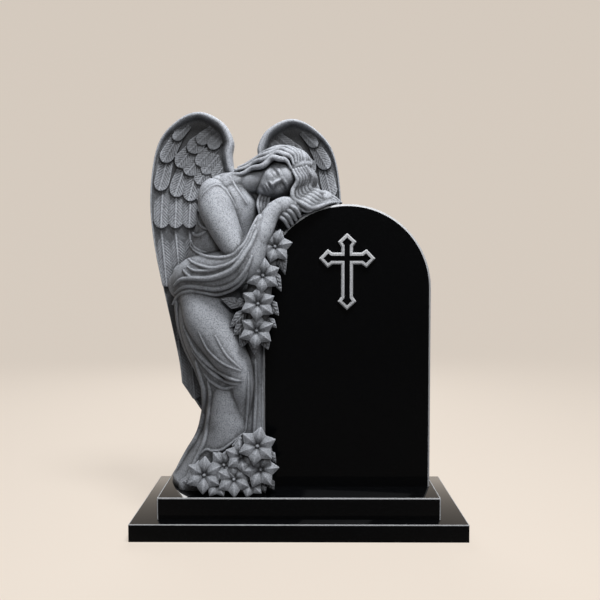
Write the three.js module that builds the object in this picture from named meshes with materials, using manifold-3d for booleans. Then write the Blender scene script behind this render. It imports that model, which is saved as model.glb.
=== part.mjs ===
// A granite memorial: a carved angel leans on the shoulder of an arch-topped headstone.
// Millimetres, +Z up, -Y towards the viewer; the origin is under the middle of the base slab.
import * as THREE from "three";
import { LoftGeometry } from "three/addons/geometries/LoftGeometry.js";
import { mergeVertices } from "three/addons/utils/BufferGeometryUtils.js";
import Module from "manifold-3d";

const wasm = await Module();
wasm.setup();

// Driving dimensions
const BASE = { width: 1150, depth: 575, height: 60, chamfer: 3 };
const PLINTH = { width: 975, depth: 475, height: 75, chamfer: 4 };
const STONE = { width: 600, height: 1015, thickness: 100, centreX: 171, frontY: -105, chamfer: 7 };
const CROSS = { height: 274, width: 200, armDrop: 90, shaft: 21, bud: 33, budAt: 31, budEnd: 48 };
const CROSS_RELIEF = { topZ: 1047, raise: 10, border: 11, sink: 5, chamfer: 4 };
const WING = { middleX: -200, frontY: 30, backY: 74, rim: 17, rimDepth: 34, rimSink: 10, rightDrop: 26 };
const HEAD = { height: 183, width: 128, depth: 160, jawTaper: 0.34, chin: 6, middle: [-75, -70, 1240] };
const HAIR = { overSide: 9, overCrown: 7, overBack: 4, up: 9, back: 18, lock: 12, backLock: 32 };
const CLOTH = { crease: 10, hang: 18, backHang: 22, thinRoll: 15, thickRoll: 21 };
const FEATHER = { thick: 24, sunk: 6, proud: 9, notch: 26, shoulder: 10 };
const LILY = { radius: 60, valley: 0.6, cup: 14, dip: -2, deep: 34 };
const LEAF = { half: 20, thick: 12 };
const CUT_GAP = 0.4; // air left between the carving and the headstone it is cut to fit
const WELD = 1e-4;

const plinthTop = BASE.height + PLINTH.height;
const vec = (x, y, z) => new THREE.Vector3(x, y, z);
const X_AXIS = vec(1, 0, 0);
const UP = vec(0, 0, 1);

// A geometry as a closed solid with its faces pointing out
function solid(geometry) {
  const bare = new THREE.BufferGeometry();
  bare.setAttribute("position", geometry.getAttribute("position"));
  bare.setIndex(geometry.index);
  const welded = mergeVertices(bare, WELD);
  const place = welded.getAttribute("position");
  const corner = (i) => new THREE.Vector3().fromBufferAttribute(place, i);
  const kept = [];
  let volume = 0;
  for (let i = 0; i < welded.index.count; i += 3) {
    const [a, b, c] = [0, 1, 2].map((k) => welded.index.getX(i + k));
    if (a === b || b === c || c === a) continue;
    kept.push([a, b, c]);
    volume += corner(a).dot(corner(b).cross(corner(c)));
  }
  const triVerts = new Uint32Array(kept.flatMap(([a, b, c]) => (volume < 0 ? [a, c, b] : [a, b, c])));
  return new wasm.Manifold(new wasm.Mesh({ numProp: 3, vertProperties: place.array, triVerts }));
}

const joined = (geometries) => geometries.map(solid).reduce((all, next) => all.add(next));

function meshOf(name, manifold, material) {
  const { vertProperties, triVerts } = manifold.getMesh();
  const geometry = new THREE.BufferGeometry();
  geometry.setAttribute("position", new THREE.BufferAttribute(vertProperties, 3));
  geometry.setIndex(new THREE.BufferAttribute(triVerts, 1));
  geometry.computeVertexNormals();
  const mesh = new THREE.Mesh(geometry, material);
  mesh.name = name;
  return mesh;
}

// Elliptical sections along a spine. A station is [x, y, z, half width, half depth].
function limb(stations, { sides = 8, steps, across = X_AXIS, round = 0 }) {
  const spine = new THREE.CatmullRomCurve3(stations.map(([x, y, z]) => vec(x, y, z)), false, "centripetal");
  const sizes = new THREE.CatmullRomCurve3(stations.map(([, , , half, deep = half]) => vec(half, deep, 0)));
  const section = (t, slide, shrink) => {
    const tangent = spine.getTangent(t);
    const size = sizes.getPoint(t);
    const wide = across.clone().addScaledVector(tangent, -across.dot(tangent)).normalize();
    const deep = tangent.clone().cross(wide);
    const middle = spine.getPoint(t).addScaledVector(tangent, slide * Math.min(size.x, size.y));
    return Array.from({ length: sides }, (_, k) => {
      const turn = (2 * Math.PI * k) / sides;
      const point = middle.clone().addScaledVector(wide, shrink * size.x * Math.cos(turn));
      return point.addScaledVector(deep, shrink * size.y * Math.sin(turn));
    });
  };
  const sections = Array.from({ length: steps + 1 }, (_, i) => section(i / steps, 0, 1));
  if (round) sections.unshift(section(0, -round, 0.5));
  if (round) sections.push(section(1, round, 0.5));
  return new LoftGeometry(sections, { capStart: true, capEnd: true });
}

// A roll of cloth, a fold or a lock of hair: even radius, half as thick at both ends
function roll(points, radius) {
  const last = points.length - 1;
  const stations = points.map((p, i) => [...p, i === 0 || i === last ? radius / 2 : radius]);
  return limb(stations, { sides: 4, steps: last });
}

// A line of points part of the way from one line to another, lifted in the middle of the way
function between(first, last, share, bulge = 0) {
  return first.map((from, i) => {
    const [x, y, z] = from.map((value, k) => value + share * (last[i][k] - value));
    return [x, y, z + 4 * share * (1 - share) * bulge];
  });
}

// A flat slab with an outline in the XZ plane, from backY forward by its thickness
function slab(outline, backY, thickness, chamfer = 0, curveSegments = 12) {
  const geometry = new THREE.ExtrudeGeometry(outline, {
    depth: thickness - 2 * chamfer,
    bevelEnabled: chamfer > 0,
    bevelThickness: chamfer,
    bevelSize: chamfer,
    bevelOffset: -chamfer,
    bevelSegments: 1,
    curveSegments,
  });
  return geometry.translate(0, 0, chamfer).rotateX(Math.PI / 2).translate(0, backY, 0);
}

// The two base slabs: plain blocks with a small chamfer round the top
function block({ width, depth, height, chamfer }, bottomZ) {
  const half = { x: width / 2, y: depth / 2 };
  const ring = (inset, z) =>
    [[-1, -1], [1, -1], [1, 1], [-1, 1]].map(([x, y]) => vec(x * (half.x - inset), y * (half.y - inset), z));
  const top = bottomZ + height;
  const rings = [ring(0, bottomZ), ring(0, top - chamfer), ring(chamfer, top)];
  return new LoftGeometry(rings, { capStart: true, capEnd: true });
}

const belowPlinthTop = solid(new THREE.BoxGeometry(2000, 2000, 400).translate(0, 0, plinthTop - 200));

// The headstone: a slab with a half-round top, chamfered edges and a raised cross
function archShape(grow) {
  const half = STONE.width / 2 + grow;
  const springZ = plinthTop + STONE.height - STONE.width / 2;
  const foot = plinthTop - 2 * STONE.chamfer;
  const shape = new THREE.Shape();
  shape.moveTo(STONE.centreX - half, foot);
  shape.lineTo(STONE.centreX + half, foot);
  shape.absarc(STONE.centreX, springZ, half, 0, Math.PI);
  shape.closePath();
  return shape;
}

// A cross whose four arms end in pointed buds, drawn round its middle arm by arm
function crossShape(inset) {
  const shaft = CROSS.shaft - inset;
  const bud = CROSS.bud - inset;
  const middleZ = CROSS_RELIEF.topZ - CROSS.armDrop;
  const reaches = [CROSS.width / 2, CROSS.armDrop, CROSS.width / 2, CROSS.height - CROSS.armDrop];
  const points = reaches.flatMap((reach, i) => {
    const turn = (i * Math.PI) / 2;
    const end = reach - inset;
    const profile = [
      [shaft, -shaft],
      [reach - CROSS.budEnd, -shaft],
      [reach - CROSS.budAt, -bud],
      [end, 0],
      [reach - CROSS.budAt, bud],
      [reach - CROSS.budEnd, shaft],
    ];
    return profile.map(([u, v]) => [
      STONE.centreX + u * Math.cos(turn) - v * Math.sin(turn),
      middleZ + u * Math.sin(turn) + v * Math.cos(turn),
    ]);
  });
  return new THREE.Shape(points.map(([x, z]) => new THREE.Vector2(x, z)));
}

function headstone() {
  const backY = STONE.frontY + STONE.thickness;
  const body = solid(slab(archShape(0), backY, STONE.thickness, STONE.chamfer));
  const { raise, chamfer, border, sink } = CROSS_RELIEF;
  const cross = solid(slab(crossShape(0), STONE.frontY + raise, 2 * raise, chamfer));
  const field = solid(slab(crossShape(border), STONE.frontY - raise + sink, 2 * sink));
  return body.subtract(belowPlinthTop).add(cross).subtract(field);
}

// The gown: a skirt, the bent leg under it, a trail along the headstone and the folds
function gown() {
  const skirt = [
    [-315, -35, 843, 120, 106], [-316, -35, 720, 122, 112], [-284, -35, 566, 106, 112],
    [-251, -35, 437, 108, 114], [-252, -35, 325, 116, 120], [-271, -32, 242, 140, 130],
    [-296, -25, 120, 170, 148],
  ];
  const leg = [
    [-343, -72, 822, 88, 74], [-312, -105, 735, 92, 72], [-258, -132, 633, 70, 62], [-222, -142, 574, 56, 54],
    [-206, -138, 513, 46, 47], [-214, -125, 417, 42, 44], [-245, -110, 260, 48, 44],
  ];
  const trail = [
    [-174, -60, 822, 44, 50], [-168, -60, 600, 45, 58], [-161, -58, 404, 46, 64], [-181, -50, 128, 60, 84],
  ];
  const creases = [
    [[-349, -165, 686], [-316, -182, 639], [-266, -196, 595], [-203, -194, 567]],
    [[-414, -110, 716], [-366, -150, 631], [-306, -178, 575], [-204, -186, 531]],
    [[-369, -130, 618], [-315, -160, 559], [-261, -180, 526], [-212, -182, 520]],
  ];
  const hangs = [
    [[-360, -90, 585], [-347, -90, 465], [-359, -85, 354], [-448, -60, 176]],
    [[-331, -120, 538], [-321, -125, 435], [-336, -120, 326], [-421, -90, 170]],
    [[-301, -140, 484], [-297, -145, 385], [-312, -140, 302], [-343, -130, 240]],
    [[-171, -163, 552], [-165, -158, 460], [-173, -153, 320]],
    [[-149, -126, 590], [-145, -128, 455], [-149, -126, 310]],
  ];
  const backHangs = [-310, -220].map((x) => [[x, 56, 800], [x + 8, 72, 560], [x, 84, 340], [x - 30, 108, 160]]);
  return [
    limb(skirt, { sides: 11, steps: 7 }),
    limb(leg, { sides: 8, steps: 8, round: 0.5 }),
    limb(trail, { steps: 4 }),
    ...creases.map((points) => roll(points, CLOTH.crease)),
    ...hangs.map((points) => roll(points, CLOTH.hang)),
    ...backHangs.map((points) => roll(points, CLOTH.backHang)),
  ];
}

function trunk() {
  const torso = [
    [-314, -25, 676, 60, 60], [-316, -30, 795, 128, 108], [-304, -35, 897, 122, 104],
    [-288, -40, 989, 108, 94], [-269, -45, 1079, 102, 92], [-247, -45, 1159, 104, 86],
    [-225, -42, 1206, 92, 72], [-196, -45, 1246, 40, 42],
  ];
  const neck = [[-221, -50, 1220, 48, 46], [-169, -65, 1229, 41, 41], [-111, -80, 1241, 42, 42]];
  return [limb(torso, { sides: 9, steps: 7 }), limb(neck, { steps: 2 })];
}

function arms() {
  const upperArm = [
    [-277, -70, 1228, 40, 40], [-296, -90, 1190, 60, 56], [-290, -110, 1139, 66, 60],
    [-270, -135, 1085, 58, 54], [-240, -160, 1024, 50, 48], [-210, -178, 975, 45, 44],
    [-182, -185, 944, 40, 38],
  ];
  const forearm = [
    [-193, -182, 937, 38, 36], [-162, -178, 985, 42, 40], [-128, -165, 1048, 38, 34],
    [-101, -150, 1104, 31, 28], [-77, -142, 1136, 27, 22],
  ];
  const palm = [[-94, -142, 1126, 26, 20], [-52, -139, 1141, 32, 19], [-17, -132, 1141, 26, 14]];
  const thumb = [[-28, -136, 1149, 10], [-6, -132, 1138, 9], [2, -120, 1118, 7]];
  const farArm = [
    [-170, -20, 1180, 62, 56], [-90, -20, 1160, 52, 48], [0, -40, 1160, 44, 42], [90, -56, 1170, 34, 34],
  ];
  const firstKnuckle = vec(-75, -144, 1106);
  const nextKnuckle = vec(13.5, 0, 12.5);
  const fingers = [0, 1, 2, 3].map((i) => {
    const knuckle = firstKnuckle.clone().addScaledVector(nextKnuckle, i);
    const bend = knuckle.clone().add(vec(22, 4, -14));
    const tip = knuckle.clone().add(vec(36, 27, -37));
    return [knuckle, bend, tip].map((p, k) => [...p.toArray(), 8 - k]);
  });
  return [
    limb(upperArm, { steps: 7, round: 0.5 }),
    limb(forearm, { steps: 4, round: 0.5 }),
    limb(palm, { sides: 6, steps: 2, across: vec(0.5, 0, 0.87), round: 0.5 }),
    limb(farArm, { sides: 6, steps: 3, across: UP }),
    ...[thumb, ...fingers].map((digit) => limb(digit, { sides: 5, steps: 2 })),
  ];
}

// The shawl falls from the wrist, wraps the hips and drops behind the thigh
function shawl() {
  const bulk = [
    [-129, -150, 1070, 26, 20], [-149, -165, 1000, 52, 34], [-194, -168, 937, 64, 44],
    [-284, -140, 906, 74, 52], [-377, -85, 891, 72, 54], [-430, -30, 861, 56, 50],
  ];
  const fall = [
    [-452, -35, 806, 22, 34], [-450, -28, 720, 20, 34], [-415, -25, 600, 22, 34], [-362, -25, 400, 24, 34],
  ];
  const behind = [
    [-425, -20, 880, 58, 40], [-370, 22, 900, 64, 40], [-220, 32, 895, 66, 34], [-140, 10, 880, 50, 34],
  ];
  const upperRoll = [
    [-124, -172, 1117], [-147, -186, 1061], [-171, -200, 999], [-201, -206, 957],
    [-250, -200, 940], [-315, -176, 958], [-366, -122, 990], [-386, -60, 1010],
  ];
  const lowerRoll = [
    [-131, -178, 944], [-154, -190, 889], [-202, -196, 851], [-276, -186, 837],
    [-353, -158, 843], [-413, -112, 827], [-450, -66, 785], [-455, -40, 725],
  ];
  const shares = [0, 0.18, 0.4, 0.7, 1];
  return [
    limb(bulk, { steps: 6, across: UP }),
    limb(fall, { sides: 6, steps: 4 }),
    limb(behind, { sides: 6, steps: 3, across: UP }),
    ...shares.map((share) => {
      const radius = THREE.MathUtils.lerp(CLOTH.thinRoll, CLOTH.thickRoll, share);
      return roll(between(upperRoll, lowerRoll, share), radius);
    }),
  ];
}

// The head leans over onto the hand: X runs across it, Y up to the crown and Z out of the face
function headFrame() {
  const up = vec(0.854, 0, 0.52);
  const out = vec(-0.05, -0.97, -0.2);
  const across = up.clone().cross(out).normalize();
  const ahead = across.clone().cross(up).normalize();
  return new THREE.Matrix4().makeBasis(across, up, ahead).setPosition(...HEAD.middle);
}

function head() {
  const skull = new THREE.SphereGeometry(1, 14, 10);
  const place = skull.getAttribute("position");
  for (let i = 0; i < place.count; i++) {
    const n = vec(0, 0, 0).fromBufferAttribute(place, i);
    const low = Math.max(0, -n.y);
    const jaw = 1 - HEAD.jawTaper * low * low;
    const half = vec(HEAD.width * jaw, HEAD.height, HEAD.depth * jaw).multiplyScalar(0.5);
    place.setXYZ(i, n.x * half.x, n.y * half.y, n.z * half.z + HEAD.chin * low);
  }
  const face = HEAD.depth / 2;
  const nose = [[0, 4, face - 8, 7, 7], [0, -14, face - 2, 8, 9], [0, -31, face + 5, 11, 12]];
  const lips = [[-20, -52, face - 17, 4, 4], [0, -50, face - 6, 7, 7], [20, -52, face - 17, 4, 4]];
  const lids = [-1, 1].map((side) => [
    [side * 44, -3, face - 30, 5],
    [side * 28, -5, face - 13, 9],
    [side * 13, -4, face - 12, 5],
  ]);
  const hairCap = new THREE.SphereGeometry(1, 12, 8);
  const halfHead = vec(HEAD.width, HEAD.height, HEAD.depth).multiplyScalar(0.5);
  hairCap.scale(halfHead.x + HAIR.overSide, halfHead.y + HAIR.overCrown, halfHead.z + HAIR.overBack);
  const parts = [
    skull,
    limb(nose, { sides: 6, steps: 2 }),
    ...[lips, ...lids].map((line) => limb(line, { sides: 5, steps: 4, across: vec(0, 1, 0) })),
    hairCap.translate(0, HAIR.up, -HAIR.back),
  ];
  return parts.map((geometry) => geometry.applyMatrix4(headFrame()));
}

// Locks of hair: a family over the brow to the shoulder, one down onto the headstone, one down the back
function hair() {
  const browFirst = [
    [-28, -140, 1272], [-52, -142, 1299], [-80, -138, 1307], [-112, -128, 1295],
    [-148, -112, 1279], [-188, -95, 1264], [-236, -85, 1255],
  ];
  const browLast = [
    [11, -118, 1282], [18, -98, 1321], [-14, -80, 1343], [-64, -64, 1348],
    [-112, -52, 1334], [-155, -42, 1308], [-192, -36, 1284],
  ];
  const sideFirst = [
    [-21, -138, 1265], [-7, -140, 1234], [-21, -138, 1199], [-10, -134, 1161],
    [25, -126, 1138], [64, -118, 1140], [108, -108, 1153],
  ];
  const sideLast = [
    [25, -110, 1280], [44, -100, 1249], [36, -92, 1214], [54, -84, 1195],
    [89, -72, 1187], [122, -62, 1175], [151, -54, 1159],
  ];
  const backFirst = [[-40, -10, 1300], [-84, 16, 1240], [-104, 34, 1150], [-122, 38, 980]];
  const backLast = [[-150, -10, 1280], [-180, 22, 1220], [-202, 38, 1150], [-222, 40, 1030]];
  const chinLock = [[-132, -96, 1193], [-146, -100, 1150], [-138, -112, 1107], [-152, -120, 1071]];
  const wristLock = [[-17, -132, 1190], [-7, -130, 1148], [14, -126, 1126], [43, -120, 1124]];
  const family = (first, last, count, radius, bulge) =>
    Array.from({ length: count }, (_, i) => roll(between(first, last, i / (count - 1), bulge), radius));
  return [
    ...family(browFirst, browLast, 5, HAIR.lock, 18),
    ...family(sideFirst, sideLast, 4, HAIR.lock, 0),
    ...family(backFirst, backLast, 2, HAIR.backLock, 0),
    roll(chinLock, HAIR.lock),
    roll(wristLock, HAIR.lock),
  ];
}

// A wing: a plate, a rounded leading edge and rows of overlapping feathers, front and back
function wing(side, drop) {
  const at = (out, y, z) => [WING.middleX + side * out, y, z - drop];
  const spot = ([out, z]) => new THREE.Vector2(WING.middleX + side * out, z - drop);
  const shoulder = [[50, 1345], [46, 1400], [84, 1464], [170, 1502], [258, 1466], [328, 1376]];
  const outerEdge = [[356, 1200], [345, 1026], [308, 840], [254, 590], [240, 492]];
  const innerEdge = [[80, 640], [12, 1000], [10, 1190], [46, 1302]];
  const outline = new THREE.Shape();
  outline.moveTo(...spot([46, 1302]));
  outline.splineThru(shoulder.map(spot));
  outline.splineThru(outerEdge.map(spot));
  outline.lineTo(...spot([170, 386]));
  outline.splineThru(innerEdge.map(spot));
  const plate = slab(outline, WING.backY, WING.backY - WING.frontY, 0, 2);

  // The leading edge, each station with its share of the full thickness
  const edge = [
    [30, 1270, 0.7], [60, 1345, 1], [64, 1400, 1], [98, 1452, 1], [170, 1483, 1],
    [246, 1450, 1], [312, 1368, 0.9], [342, 1200, 0.7], [336, 1060, 0.4],
  ];
  const rimY = WING.frontY + WING.rimSink;
  const rim = edge.map(([out, z, share]) => [...at(out, rimY, z), WING.rimDepth * share, WING.rim * share]);

  // Rows of feathers: where the tips lie, how many, how long, and how far they lean outwards
  const rows = [
    { z: 1363, inner: 128, outer: 280, count: 4, length: 72, lean: 25 },
    { z: 1303, inner: 118, outer: 306, count: 5, length: 84, lean: 24 },
    { z: 1239, inner: 116, outer: 320, count: 5, length: 94, lean: 18 },
    { z: 1166, inner: 120, outer: 322, count: 5, length: 118, lean: 10 },
    { z: 1058, inner: 130, outer: 314, count: 5, length: 170, lean: 2 },
    { z: 850, inner: 150, outer: 292, count: 4, length: 270, lean: -7 },
    { z: 440, inner: 184, outer: 232, count: 2, length: 400, lean: -5, rise: 100 },
  ];
  const feathers = ({ z, inner, outer, count, length, lean, rise = 0 }, face) => {
    const angle = THREE.MathUtils.degToRad(lean);
    const pitch = (outer - inner) / (count - 1);
    const inset = length * Math.sin(angle);
    const top = [inner - pitch / 2 - inset, outer + pitch / 2 - inset].map((out) => [out, z + length]);
    const tongue = [[0.5, FEATHER.notch], [0.4, FEATHER.shoulder], [0, 0], [-0.4, FEATHER.shoulder]];
    const fringe = Array.from({ length: count }, (_, i) => {
      const tipZ = z + rise * (0.5 - i / (count - 1));
      return tongue.map(([share, lift]) => [outer - pitch * (i - share), tipZ + lift]);
    });
    const foot = [inner - pitch / 2, z - rise / 2 + FEATHER.notch];
    const shape = new THREE.Shape([...top, ...fringe.flat(), foot].map(spot));
    const surface = face < 0 ? WING.frontY + FEATHER.thick : WING.backY;
    const strip = slab(shape, surface - face * FEATHER.sunk, FEATHER.thick);
    const rootZ = z + length - drop;
    const slope = (-face * (FEATHER.sunk + FEATHER.proud)) / length;
    const shear = new THREE.Matrix4().makeShear(0, 0, 0, 0, 0, slope);
    return strip.translate(0, 0, -rootZ).applyMatrix4(shear).translate(0, 0, rootZ);
  };
  const backRows = [
    { z: 1239, inner: 64, outer: 316, count: 6, length: 94, lean: 6 },
    { z: 850, inner: 72, outer: 284, count: 6, length: 270, lean: -4 },
  ];
  return [
    plate,
    limb(rim, { sides: 6, steps: 9, across: vec(0, 1, 0) }),
    ...rows.map((row) => feathers(row, -1)),
    ...backRows.map((row) => feathers(row, 1)),
  ];
}

// A six-petalled lily: each petal rises to a ridge along its middle
function lily([x, y, z], size, turn, faceTowards) {
  const radius = LILY.radius * size;
  const ring = (share, lift, shift) =>
    Array.from({ length: 6 }, (_, i) => {
      const angle = turn + ((i + shift) * Math.PI) / 3;
      return [radius * share * Math.cos(angle), radius * share * Math.sin(angle), lift * size];
    });
  const tips = ring(1, LILY.cup, 0);
  const valleys = ring(LILY.valley, LILY.dip, 0.5);
  const points = [[0, 0, 0], ...tips, ...valleys, [0, 0, -LILY.deep * size]];
  const [heart, back] = [0, points.length - 1];
  const faces = [];
  for (let i = 0; i < 6; i++) {
    const [tip, left, right] = [1 + i, 7 + i, 7 + ((i + 5) % 6)];
    faces.push(heart, right, tip, heart, tip, left, right, back, tip, tip, back, left);
  }
  const flower = new THREE.BufferGeometry();
  flower.setAttribute("position", new THREE.Float32BufferAttribute(points.flat(), 3));
  flower.setIndex(faces);
  const facing = new THREE.Quaternion().setFromUnitVectors(vec(0, 0, 1), vec(...faceTowards).normalize());
  return flower.applyQuaternion(facing).translate(x, y, z);
}

// A leaf from its base [x, y, z], pointing at an angle measured from +X towards +Z
function leaf([x, y, z], degrees, length) {
  const angle = THREE.MathUtils.degToRad(degrees);
  const along = vec(Math.cos(angle), 0, Math.sin(angle)).multiplyScalar(length);
  const across = vec(-Math.sin(angle), 0, Math.cos(angle));
  const shape = [[0, 0.35, 0.8], [0.45, 1, 1], [1, 0.1, 0.25]];
  const stations = shape.map(([share, wide, thick]) => {
    const middle = vec(x, y, z).addScaledVector(along, share);
    return [...middle.toArray(), LEAF.half * wide, LEAF.thick * thick];
  });
  return limb(stations, { sides: 4, steps: 2, across });
}

function garland() {
  const stem = [
    [-95, -125, 1036, 30, 24], [-109, -126, 966, 40, 28], [-130, -128, 895, 42, 30],
    [-145, -130, 800, 44, 30], [-152, -130, 704, 42, 30], [-152, -128, 632, 24, 20],
  ];
  const lilies = [
    [-84, -150, 998, 0.3], [-125, -158, 897, 0.52], [-142, -160, 800, 0.4], [-147, -160, 706, 0.45],
  ];
  const leaves = [
    [[-207, -150, 790], 161, 77], [[-182, -150, 779], 231, 90], [[-179, -150, 734], 231, 73],
    [[-182, -150, 706], 251, 68], [[-154, -150, 684], 273, 63], [[-126, -146, 691], 288, 56],
    [[-70, -130, 979], 285, 80], [[-95, -130, 916], 295, 82], [[-109, -130, 811], 305, 66],
  ];
  return [
    limb(stem, { sides: 6, steps: 5, round: 0.5 }),
    ...lilies.map(([x, y, z, turn]) => lily([x, y, z], 1, turn, [0.1, -1, 0.1])),
    ...leaves.map((placed) => leaf(...placed)),
  ];
}

function footFlowers() {
  const mound = [
    [-402, -140, 140, 36, 30], [-333, -150, 172, 60, 40], [-244, -155, 209, 66, 44],
    [-173, -150, 251, 60, 44], [-131, -140, 270, 46, 40],
  ];
  const lilies = [
    [-144, -186, 303, 1.05, 0.35], [-200, -180, 267, 0.9, 0.7], [-133, -190, 222, 1, 0.1],
    [-330, -184, 200, 1, 0.5], [-258, -174, 234, 0.95, 0.2], [-228, -194, 186, 0.9, 0.6],
    [-174, -196, 172, 0.8, 0.3], [-386, -166, 172, 0.7, 0.8], [-284, -194, 170, 0.75, 0],
  ];
  const leaves = [
    [[-258, -170, 226], 115, 60], [[-222, -165, 272], 73, 65], [[-108, -175, 281], 304, 50],
    [[-107, -185, 185], 298, 45], [[-344, -178, 171], 177, 68], [[-326, -190, 158], 214, 29],
  ];
  return [
    limb(mound, { sides: 6, steps: 4, across: UP, round: 0.5 }),
    ...lilies.map(([x, y, z, size, turn]) => lily([x, y, z], size, turn, [0, -1, 0.35])),
    ...leaves.map((placed) => leaf(...placed)),
  ];
}

// The whole carving, cut flat on the plinth and fitted to the headstone's side and top
function angel() {
  const forms = [
    gown(), trunk(), arms(), shawl(), head(), hair(),
    wing(-1, 0), wing(1, WING.rightDrop), garland(), footFlowers(),
  ];
  const roomBack = STONE.frontY + STONE.thickness + CUT_GAP;
  const room = slab(archShape(CUT_GAP), roomBack, STONE.thickness + 2 * CUT_GAP);
  const carved = joined(forms.flat()).subtract(belowPlinthTop).subtract(solid(room));
  return carved.decompose().reduce((largest, next) => (next.volume() > largest.volume() ? next : largest));
}

const polished = new THREE.MeshStandardMaterial({ color: 0x07080a, roughness: 0.12, metalness: 0 });
const carvedGranite = new THREE.MeshStandardMaterial({ color: 0x85888f, roughness: 0.75, metalness: 0 });

const monument = new THREE.Group();
monument.add(
  meshOf("base_slab", solid(block(BASE, 0)), polished),
  meshOf("plinth", solid(block(PLINTH, BASE.height)), polished),
  meshOf("headstone", headstone(), polished),
  meshOf("angel", angel(), carvedGranite),
);

export default monument;
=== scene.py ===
import math

import bmesh
import bpy
import numpy as np
from mathutils import Matrix, Vector
from mathutils.bvhtree import BVHTree


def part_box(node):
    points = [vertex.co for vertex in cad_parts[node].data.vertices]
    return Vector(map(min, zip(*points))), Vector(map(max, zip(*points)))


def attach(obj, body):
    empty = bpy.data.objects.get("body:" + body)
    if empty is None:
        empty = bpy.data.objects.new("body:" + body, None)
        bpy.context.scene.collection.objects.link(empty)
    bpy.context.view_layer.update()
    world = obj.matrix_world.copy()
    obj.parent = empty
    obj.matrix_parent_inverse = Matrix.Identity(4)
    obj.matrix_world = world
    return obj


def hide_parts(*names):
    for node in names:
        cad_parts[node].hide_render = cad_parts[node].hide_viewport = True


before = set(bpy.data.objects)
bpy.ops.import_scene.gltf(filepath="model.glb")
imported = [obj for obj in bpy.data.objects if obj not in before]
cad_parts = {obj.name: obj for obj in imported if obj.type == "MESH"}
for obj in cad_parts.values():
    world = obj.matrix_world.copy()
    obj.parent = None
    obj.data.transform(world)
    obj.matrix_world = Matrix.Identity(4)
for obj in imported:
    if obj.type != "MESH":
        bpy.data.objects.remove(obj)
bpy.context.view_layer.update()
mm = 0.001  # the carving is measured in millimetres, Blender works in metres
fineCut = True
print("frame loaded:", ", ".join(sorted(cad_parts)))


# Selecting and finishing pieces

def deselect():
    if bpy.context.object and bpy.context.object.mode != "OBJECT":
        bpy.ops.object.mode_set(mode="OBJECT")
    bpy.ops.object.select_all(action="DESELECT")


def take(piece):
    deselect()
    piece.select_set(True)
    bpy.context.view_layer.objects.active = piece
    return piece


def applyModifier(piece, kind, **settings):
    take(piece)
    step = piece.modifiers.new(kind.lower(), kind)
    for key, value in settings.items():
        setattr(step, key, value)
    bpy.ops.object.modifier_apply(modifier=step.name)


def newPiece(name, points, faces):
    mesh = bpy.data.meshes.new(name)
    mesh.from_pydata(points, [], faces)
    piece = bpy.data.objects.new(name, mesh)
    bpy.context.collection.objects.link(piece)
    return take(piece)


def pickEdges(piece, wanted):
    bpy.ops.object.mode_set(mode="EDIT")
    bpy.ops.mesh.select_mode(type="EDGE")
    bpy.ops.mesh.select_all(action="DESELECT")
    work = bmesh.from_edit_mesh(piece.data)
    for edge in work.edges:
        edge.select = wanted(edge.verts[0].co, edge.verts[1].co)
    work.select_flush_mode()
    bmesh.update_edit_mesh(piece.data)


def markFaces(piece, name, share):
    layer = piece.data.attributes.new(name, "FLOAT", "FACE")
    layer.data.foreach_set("value", [float(share(face)) for face in piece.data.polygons])


def settle(piece, node):
    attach(piece, "root")
    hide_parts(node)
    return piece


# Polished slabs: base and plinth

slabs = {
    "base_slab": {"piece": "base_stone", "arris": 3.0},
    "plinth": {"piece": "plinth_stone", "arris": 4.0},
}


def makeSlab(node, piece, arris):
    low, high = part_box(node)
    deselect()
    bpy.ops.mesh.primitive_cube_add(size=1, location=(low + high) / 2)
    slab = bpy.context.object
    slab.name = slab.data.name = piece
    slab.scale = high - low
    bpy.ops.object.transform_apply(location=True, rotation=True, scale=True)
    top = high.z - 1e-5
    pickEdges(slab, lambda a, b: a.z > top or b.z > top)
    bpy.ops.mesh.bevel(offset=arris * mm, segments=2, profile=0.6, affect="EDGES")
    bpy.ops.object.mode_set(mode="OBJECT")
    # the bevelled top edges take the pale colour: a painted highlight of light glinting on the chamfer
    markFaces(slab, "frostAndChamferGlint", lambda face: max(abs(c) for c in face.normal) < 0.98 and face.center.z > 0.03)
    bpy.ops.object.shade_smooth_by_angle(angle=math.radians(20))
    print("slab", piece)
    return settle(slab, node)


slabPieces = [makeSlab(node, **values) for node, values in slabs.items()]


# Headstone: a half-round top on straight sides, and the raised cross

stone = {"width": 600, "thick": 100, "front": -105, "centre": 171, "top": 1150, "foot": 135, "arris": 7,
         "arcSteps": 160}
cross = {"top": 1047, "height": 274, "width": 200, "armDrop": 90, "shaft": 21, "bud": 33, "budAt": 31,
         "budEnd": 48,
         "raise": 10, "border": 11, "sink": 5, "arris": 4, "rooted": 3}


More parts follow.
